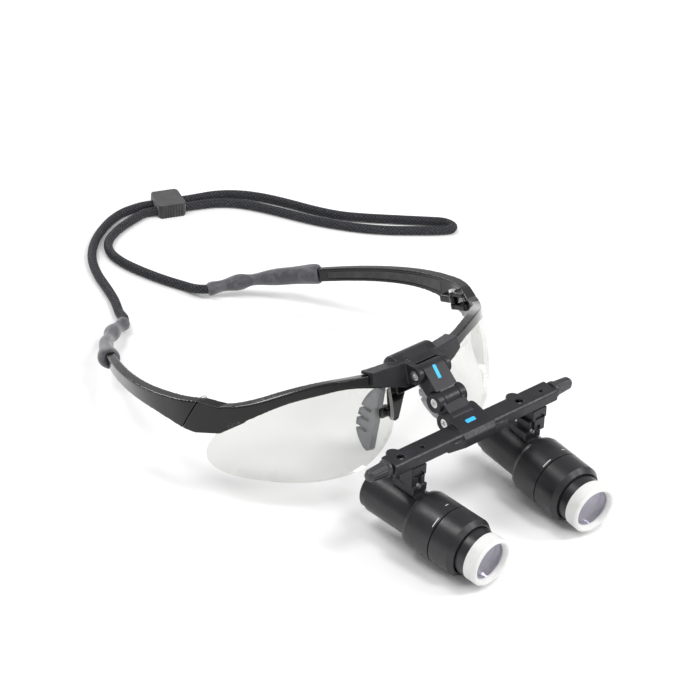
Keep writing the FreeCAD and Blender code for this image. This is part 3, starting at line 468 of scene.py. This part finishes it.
def printed_mark(name, node, centre, along, length, width, material, body):
    """A thin closed patch of ink on the surface of a CAD node. Sizes are in millimetres."""
    surface = NODES[node].data
    tree = BVHTree.FromPolygons([v.co for v in surface.vertices],
                                [p.vertices[:] for p in surface.polygons])
    at, normal, _, _ = tree.find_nearest(Vector(centre) * MM)
    along = (Vector(along) - normal * Vector(along).dot(normal)).normalized()
    across = normal.cross(along)
    columns, rows, corner = 18, 8, 0.1
    film = 0.05 * MM
    data = bmesh.new()
    sheets = []
    for lift in (film, -film):
        sheet = []
        for i in range(columns + 1):
            s = 2 * i / columns - 1
            for j in range(rows + 1):
                t = 2 * j / rows - 1
                squeeze = 1 - corner * width / length * t ** 4
                pinch = 1 - corner * s ** 8
                spot = at + along * (s * squeeze * length / 2 * MM)
                spot += across * (t * pinch * width / 2 * MM)
                hit, facing, _, _ = tree.ray_cast(spot + normal * 2 * MM, -normal)
                hit, facing = (hit, facing) if hit else (spot, normal)
                sheet.append(data.verts.new(hit + facing * lift))
        sheets.append(sheet)
    stride = rows + 1
    for index, sheet in enumerate(sheets):
        for i in range(columns):
            for j in range(rows):
                a = i * stride + j
                loop = [sheet[a], sheet[a + stride], sheet[a + stride + 1], sheet[a + 1]]
                data.faces.new(loop if index == 0 else loop[::-1])
    rim = [i * stride for i in range(columns)]
    rim += [columns * stride + j for j in range(rows)]
    rim += [i * stride + rows for i in range(columns, 0, -1)]
    rim += [j for j in range(rows, 0, -1)]
    for a, b in zip(rim, rim[1:] + rim[:1]):
        data.faces.new((sheets[0][a], sheets[1][a], sheets[1][b], sheets[0][b]))
    bmesh.ops.recalc_face_normals(data, faces=data.faces)
    mesh = bpy.data.meshes.new(name)
    data.to_mesh(mesh)
    data.free()
    piece = add_object(name, mesh, material)
    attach(piece, body)
    return piece


# ---- neck cord ------------------------------------------------------------------------------
CORD_R = 2.05
STRAND_R = CORD_R * 0.995  # a little thinner, to hide inside the cord where they overlap
CORD_Z = 2.1
CORD_SIDES = 30
WEAVE_DEPTH = 0.1
LOCK_AT = (57.6, 219.6)
LOCK_DIR = (0.936, -0.352)
LOCK_HALF_GAP = 3.1
CORD_STEP = 0.35  # between two rings of the tube
STRAIGHT_ENOUGH = 0.004  # radians between two runs that count as one


def braid_height(angle, length):
    """Relief of the braid, negative in the gaps between its diamonds."""
    turn = 2 * math.pi * length / BRAID_PITCH
    one = abs(math.sin(CARRIERS / 2 * (angle + turn)))
    other = abs(math.sin(CARRIERS / 2 * (angle - turn)))
    return WEAVE_DEPTH * (one * other - 1)


def lock_point(along, across):
    ux, uy = LOCK_DIR
    x = LOCK_AT[0] + ux * along - uy * across
    y = LOCK_AT[1] + uy * along + ux * across
    return x, y


def rounded_path(corners):
    """Points along straight runs whose corners are arcs, as large as the runs allow."""
    corners = [Vector((x, y, CORD_Z)) for x, y in corners]
    path = [corners[0]]

    def go_straight(target):
        start = path[-1]
        count = max(1, round((target - start).length / CORD_STEP))
        path.extend(start.lerp(target, k / count) for k in range(1, count + 1))

    for before, corner, after in zip(corners, corners[1:], corners[2:]):
        turn = (corner - before).angle(after - corner)
        if turn < STRAIGHT_ENOUGH:
            continue
        reach = 0.495 * min((corner - before).length, (after - corner).length)
        start = corner + (before - corner).normalized() * reach
        end = corner + (after - corner).normalized() * reach
        radius = reach / math.tan(turn / 2)
        inward = ((start + end) / 2 - corner).normalized()
        centre = corner + inward * (radius / math.cos(turn / 2))
        go_straight(start)
        count = max(2, round(radius * turn / CORD_STEP))
        sweep = turn if (start - centre).cross(end - centre).z > 0 else -turn
        for k in range(1, count + 1):
            turned = (start - centre).copy()
            turned.rotate(Matrix.Rotation(sweep * k / count, 3, "Z"))
            path.append(centre + turned)
    go_straight(corners[-1])
    return path


def curve_between(start, leave, end, arrive, count):
    """A smooth path from start to end with the given directions and strengths at its ends."""
    p0, p3 = Vector(start), Vector(end)
    p1, p2 = p0 + Vector(leave), p3 - Vector(arrive)
    path = []
    for k in range(count + 1):
        t = k / count
        s = 1 - t
        path.append(p0 * s ** 3 + p1 * 3 * s * s * t + p2 * 3 * s * t * t + p3 * t ** 3)
    return path


# corners of the cord's run on the table, from the right sleeve round to the left one
RIGHT_STRAND = [(-16.6, 159.4), (-12.4, 167.6), (-8.6, 178.6), (-5.6, 188.6), (-0.6, 199.6),
                (6.2, 208.8), (15.1, 216.8), (27.0, 224.0), (37.5, 227.4)]
LEFT_STRAND = [(18.6, 158.8), (14.8, 168.6), (11.6, 180.4), (9.7, 191.6), (10.6, 202.0),
               (15.6, 209.8), (24.6, 215.4), (34.5, 218.6)]
LOOP_OUT = [(82.0, 214.6), (91.2, 207.6), (97.9, 198.0), (103.1, 187.0), (107.9, 175.2),
            (113.8, 164.6), (121.6, 156.0), (138.0, 140.4)]
LOOP_IN = [(77.0, 208.6), (85.4, 201.2), (91.3, 190.9), (96.6, 179.4), (101.8, 168.0),
           (108.0, 157.8), (114.9, 148.6), (122.8, 140.4)]
LOOP_TIP = [(148.6, 130.4), (147.8, 122.6), (139.6, 127.2)]
LOCK_STATIONS = (-12.0, -7.1, 7.1, 12.0)
SLEEVE_STEPS = 56
OVERLAP = 3  # rings that the fixed cord shares with each bending end
BENDING_LENGTH = {"right": 14.0, "left": 60.0}  # length of cord at each end, built as its own strand


def first_part(path, length):
    """The points of a path up to this length along it."""
    part = [path[0]]
    walked = 0.0
    for before, point in zip(path, path[1:]):
        walked += (point - before).length
        if walked > length:
            break
        part.append(point)
    return part


def build_strand(side, inside_sleeve, leave, end_of_cord):
    """One end of the cord with its way into a temple sleeve."""
    heading = (end_of_cord[1] - end_of_cord[0]).normalized()
    into_sleeve = curve_between(inside_sleeve, leave, end_of_cord[0], heading * 5, SLEEVE_STEPS)
    path = into_sleeve[:-1] + end_of_cord
    strand = braided_tube("cord_strand_" + side, path, STRAND_R)
    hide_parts("neck_cord")
    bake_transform(strand)


def build_cord():
    outer = [lock_point(t, LOCK_HALF_GAP) for t in LOCK_STATIONS]
    inner = [lock_point(t, -LOCK_HALF_GAP) for t in LOCK_STATIONS]
    corners = RIGHT_STRAND + outer + LOOP_OUT + LOOP_TIP + LOOP_IN[::-1] + inner[::-1]
    corners += LEFT_STRAND[::-1]
    path = rounded_path(corners)
    right_end = first_part(path, BENDING_LENGTH["right"])
    left_end = first_part(path[::-1], BENDING_LENGTH["left"])
    build_strand("right", (-25.6, 145.9, 4.2), (7.0, 3.6, 0.2), right_end)
    build_strand("left", (25.2, 146.1, 4.2), (-6.0, 3.0, 0.0), left_end)
    fixed = path[len(right_end) - OVERLAP:OVERLAP - len(left_end)]
    cord = braided_tube("braided_cord", fixed, CORD_R)
    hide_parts("neck_cord")
    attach(cord, "frame")


# ---- pieces -----------------------------------------------------------------------------------
MOULDED = {  # node: voxel in millimetres
    "frame_front": 0.34,
    "nose_bridge": 0.26,
    "bridge_bracket": 0.24,
    "bracket_clamp": 0.26,
    "upper_link": 0.2,
    "lower_link": 0.2,
    "cross_bar": 0.26,
    "cord_lock": 0.2,
}
MOULDED_PAIRS = {
    "nose_pad": 0.24,
    "temple": 0.36,
    "cord_sleeve": 0.34,
    "pd_knob": 0.17,
    "pd_slider": 0.13,
    "saddle": 0.13,
}


def build_mouldings():
    for node, voxel in MOULDED.items():
        skin(node, voxel)
    for stem, voxel in MOULDED_PAIRS.items():
        for side in SIDES:
            skin(f"{stem}_{side}", voxel)


def finish_cad_nodes():
    for node, piece in NODES.items():
        for slot in piece.material_slots:
            slot.material = finish_of(node)


BEZEL_LENGTH = 5.9
COLLAR_R = 11.95
INDEX_LINE = {"left": 31.0, "right": 40.0}  # degrees from the barrel's top
INDEX_TICK = {"left": -19.0, "right": -2.0}


def barrel_point(side, behind_front, from_top):
    """A place on a barrel's skin, and the direction around the barrel there.

    It is given by its distance behind the front rim in millimetres, and by its angle in
    degrees from the barrel's top towards the wearer's right.
    """
    low, high = (Vector(c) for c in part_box("front_bezel_" + side))
    forward = AXIS["focus_travel_" + side]
    rim = (low + high) / 2 / MM + forward * BEZEL_LENGTH / 2
    top = (UP - forward * forward.z).normalized()
    right = forward.cross(top) * (1 if forward.cross(top).x < 0 else -1)
    angle = math.radians(from_top)
    outward = top * math.cos(angle) + right * math.sin(angle)
    around = right * math.cos(angle) - top * math.sin(angle)
    return rim - forward * behind_front + outward * COLLAR_R, around


def build_marks():
    printed_mark("link_mark_blue", "upper_link", (-0.3, -18.8, 54.0), (-0.1, -1, -0.8), 5.8, 1.6,
                 INK_BLUE, "upper_link")
    printed_mark("bar_mark_blue", "cross_bar", (-0.3, -38.4, 42.2), (1, 0, 0), 4.8, 1.8,
                 INK_BLUE, "cross_bar")
    for side in SIDES:
        node = "barrel_collar_" + side
        spot, around = barrel_point(side, 23.0, INDEX_LINE[side])
        printed_mark("index_line_" + side, node, spot, around, 4.2, 0.28, INK_WHITE,
                     "telescope_" + side)
        spot, around = barrel_point(side, 25.2, INDEX_TICK[side])
        printed_mark("index_tick_" + side, node, spot, around, 1.7, 0.24, INK_WHITE,
                     "telescope_" + side)


# ---- studio -----------------------------------------------------------------------------------
def build_stage():
    half = 4.0
    mesh = bpy.data.meshes.new("studio_floor")
    mesh.from_pydata([(-half, -half, 0), (half, -half, 0), (half, half, 0), (-half, half, 0)], [],
                     [(0, 1, 2, 3)])
    floor_finish = Finish("studio_paper", (0.93, 0.93, 0.93), 0.75)
    floor_finish.set("Specular IOR Level", 0.2)
    floor_finish.bump(floor_finish.noise(1.5, 3), 0.01)
    away = floor_finish.node("VectorMath", operation="LENGTH")
    floor_finish.link(floor_finish.place(), away.inputs[0])
    glow = floor_finish.ramp(away.outputs["Value"], 0, 0.5, 600, 2200)
    floor_finish.set("Emission Color", (1, 1, 1, 1))
    floor_finish.link(glow, floor_finish.shader.inputs["Emission Strength"])
    add_object("studio_floor", mesh, floor_finish.material, smooth=False)


def area_light(name, place, target, size, power):
    light = bpy.data.lights.new(name, "AREA")
    light.shape = "DISK"
    light.size = size
    light.energy = power
    lamp = bpy.data.objects.new(name, light)
    lamp.location = place
    lamp.rotation_euler = (Vector(target) - Vector(place)).to_track_quat("-Z", "Y").to_euler()
    bpy.context.scene.collection.objects.link(lamp)


DOME_STRENGTH = 0.56
WALL_GLOW = 0.42  # added where the camera sees the surroundings themselves


def build_lights():
    world = bpy.data.worlds.new("studio")
    world.use_nodes = True
    background = world.node_tree.nodes["Background"]
    background.inputs["Color"].default_value = (1, 1, 1, 1)
    seen = world.node_tree.nodes.new("ShaderNodeLightPath").outputs["Is Camera Ray"]
    strength = world.node_tree.nodes.new("ShaderNodeMath")
    strength.operation = "MULTIPLY_ADD"
    strength.inputs[1].default_value = WALL_GLOW
    strength.inputs[2].default_value = DOME_STRENGTH
    world.node_tree.links.new(seen, strength.inputs[0])
    world.node_tree.links.new(strength.outputs[0], background.inputs["Strength"])
    scene = bpy.context.scene
    scene.world = world
    scene.view_settings.view_transform = "Standard"
    scene.view_settings.look = "None"
    middle = (0.0, 0.06, 0.03)
    area_light("key_softbox", (-0.35, 0.25, 0.9), middle, 0.42, 2.8)
    area_light("top_softbox", (0.16, -0.4, 0.95), middle, 0.26, 2.8)
    area_light("side_softbox", (0.72, -0.7, 0.74), middle, 0.3, 5.0)
    area_light("rim_softbox", (0.2, 1.0, 0.5), middle, 0.35, 2.6)
    area_light("front_softbox", (-0.25, -1.1, 0.75), middle, 0.3, 3.0)


def build_camera():
    """A long lens from the front right, looking down at the loupes."""
    place = Vector((-0.6145, -0.6351, 0.6009))
    right = Vector((0.74953, -0.66095, 0.03664))
    up = Vector((0.32543, 0.41611, 0.84909))
    back = right.cross(up)
    camera = bpy.data.cameras.new("camera")
    camera.lens = 139.16
    camera.sensor_width = 36
    camera.clip_start = 0.01
    holder = bpy.data.objects.new("camera", camera)
    turn = Matrix((right, up, back)).transposed().to_4x4()
    holder.matrix_world = Matrix.Translation(place) @ turn
    bpy.context.scene.collection.objects.link(holder)
    bpy.context.scene.camera = holder


finish_cad_nodes()
build_mouldings()
build_cord()
build_marks()
build_stage()
build_lights()
build_camera()
